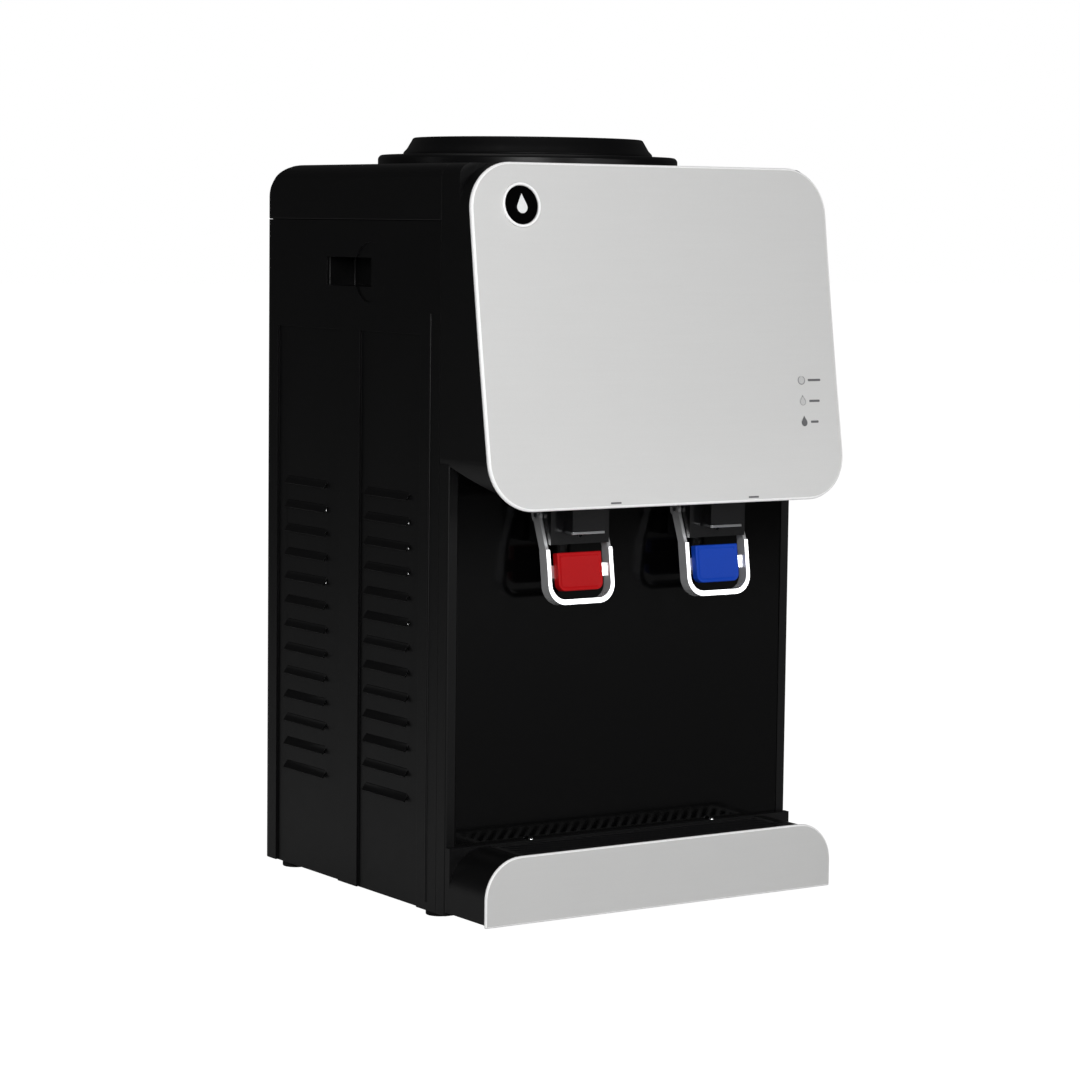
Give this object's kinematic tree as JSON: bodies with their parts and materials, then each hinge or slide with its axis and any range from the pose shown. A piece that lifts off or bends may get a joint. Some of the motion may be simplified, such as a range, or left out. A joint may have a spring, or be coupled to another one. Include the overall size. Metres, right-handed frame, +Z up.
{
  "type": "countertop bottled water dispenser",
  "caption": "Black table-top bottled water dispenser with a tilted silver fascia, red and blue push taps, a drip tray and a lift-off bottle collar.",
  "frame": {"origin": "centre of the bounding box's underside, on the table under the feet", "axes": "+Z up, -Y towards the taps and fascia, +X to the cold tap's side"},
  "size_m": [0.3074, 0.3401, 0.5531],
  "materials": {
    "black_plastic": "satin moulded ABS",
    "black_side": "satin moulded ABS",
    "gloss_black": "polished",
    "black_steel": "black enamel",
    "rubber": "matte",
    "silver_plastic": "silver paint",
    "chrome": "polished",
    "indicator_grey": "translucent",
    "circuit_board": "solder mask",
    "red_plastic": "moulded",
    "blue_plastic": "moulded",
    "green_plastic": "moulded",
    "bare_steel": "bright zinc",
    "white_plastic": "moulded",
    "silicone": "soft, milky",
    "stainless": "drawn stainless",
    "foam": "moulded foam",
    "copper": "drawn copper",
    "heater_mica": "rolled sleeve",
    "dark_bakelite": "moulded"
  },
  "bodies": {
    "cabinet": {"base_pan": "black_steel", "feet": "rubber", "left_side_panel": "black_side", "right_side_panel": "black_side", "left_grip_cup": "black_plastic", "right_grip_cup": "black_plastic", "rear_panel": "black_steel", "front_frame": "black_plastic", "splash_panel": "gloss_black", "top_cover": "black_plastic", "fascia_panel": "silver_plastic", "badge_ring": "chrome", "badge_disc": "gloss_black", "indicator_lenses": "indicator_grey", "indicator_board": "circuit_board", "skirt_panel": "silver_plastic", "tray_housing": "black_plastic", "hot_tap_body": "black_plastic", "cold_tap_body": "black_plastic", "tap_nuts": "white_plastic", "cold_tank": "stainless", "tank_baffle": "white_plastic", "cold_tank_foam": "foam", "evaporator_coil": "copper", "tank_shelf": "bare_steel", "hot_tank": "stainless", "heater_band": "heater_mica", "thermostats": "dark_bakelite", "feed_hose": "silicone", "hot_hose": "silicone", "cold_hose": "silicone", "drain_hose": "silicone", "drain_spout": "white_plastic", "compressor": "black_steel", "compressor_grommets": "rubber", "refrigerant_tubes": "copper", "filter_drier": "copper", "condenser_tube": "black_steel", "condenser_wires": "black_steel", "cord_gland": "black_plastic", "switch_housing": "black_plastic", "panel_screws": "bare_steel", "hot_valve_spring": "bare_steel", "cold_valve_spring": "bare_steel"},
    "hot_lever_body": {"hot_lever": "chrome", "hot_pad": "red_plastic", "hot_pivot_pin": "bare_steel"},
    "cold_lever_body": {"cold_lever": "chrome", "cold_pad": "blue_plastic", "cold_pivot_pin": "bare_steel"},
    "hot_stem_body": {"hot_valve_stem": "white_plastic"},
    "cold_stem_body": {"cold_valve_stem": "white_plastic"},
    "collar_body": {"bottle_collar": "black_plastic", "feed_spike": "white_plastic", "collar_seal": "silicone"},
    "basin_body": {"drip_basin": "black_plastic"},
    "grille_body": {"drip_grille": "black_plastic"},
    "cap_body": {"drain_cap": "black_plastic"},
    "cooling_rocker": {"cooling_switch": "green_plastic"},
    "heating_rocker": {"heating_switch": "red_plastic"}
  },
  "joints": [
    {"name": "hot_lever_hinge", "type": "hinge", "parent": "cabinet", "child": "hot_lever_body", "pos_m": [-0.06, -0.12295, 0.2875], "axis": [1, 0, 0], "range_deg": [0, 12], "stiffness_Nm_per_rad": 1.2, "springref_deg": -5.73},
    {"name": "hot_stem_slide", "type": "slide", "parent": "cabinet", "child": "hot_stem_body", "axis": [0, 0, -1], "range_m": [0, 0.0022], "stiffness_N_per_m": 60, "deforming": ["hot_valve_spring"]},
    {"name": "cold_lever_hinge", "type": "hinge", "parent": "cabinet", "child": "cold_lever_body", "pos_m": [0.06, -0.12295, 0.2875], "axis": [1, 0, 0], "range_deg": [0, 12], "stiffness_Nm_per_rad": 1.2, "springref_deg": -5.73},
    {"name": "cold_stem_slide", "type": "slide", "parent": "cabinet", "child": "cold_stem_body", "axis": [0, 0, -1], "range_m": [0, 0.0022], "stiffness_N_per_m": 60, "deforming": ["cold_valve_spring"]},
    {"name": "collar_lift", "type": "slide", "parent": "cabinet", "child": "collar_body", "axis": [0, 0, 1], "range_m": [0, 0.11]},
    {"name": "basin_lift", "type": "slide", "parent": "cabinet", "child": "basin_body", "axis": [0, 0, 1], "range_m": [0, 0.06]},
    {"name": "grille_lift", "type": "slide", "parent": "basin_body", "child": "grille_body", "axis": [0, 0, 1], "range_m": [0, 0.03]},
    {"name": "drain_cap_pull", "type": "slide", "parent": "cabinet", "child": "cap_body", "axis": [0, 1, 0], "range_m": [0, 0.025]},
    {"name": "cooling_rocker_hinge", "type": "hinge", "parent": "cabinet", "child": "cooling_rocker", "pos_m": [-0.1055, 0.15605, 0.1175], "axis": [1, 0, 0], "range_deg": [-16, 0]},
    {"name": "heating_rocker_hinge", "type": "hinge", "parent": "cabinet", "child": "heating_rocker", "pos_m": [-0.0845, 0.15605, 0.1175], "axis": [1, 0, 0], "range_deg": [-16, 0]}
  ],
  "couplings": [
    {"joint": "hot_stem_slide", "follows": "hot_lever_hinge", "m_per_rad": 0.01},
    {"joint": "cold_stem_slide", "follows": "cold_lever_hinge", "m_per_rad": 0.01}
  ]
}
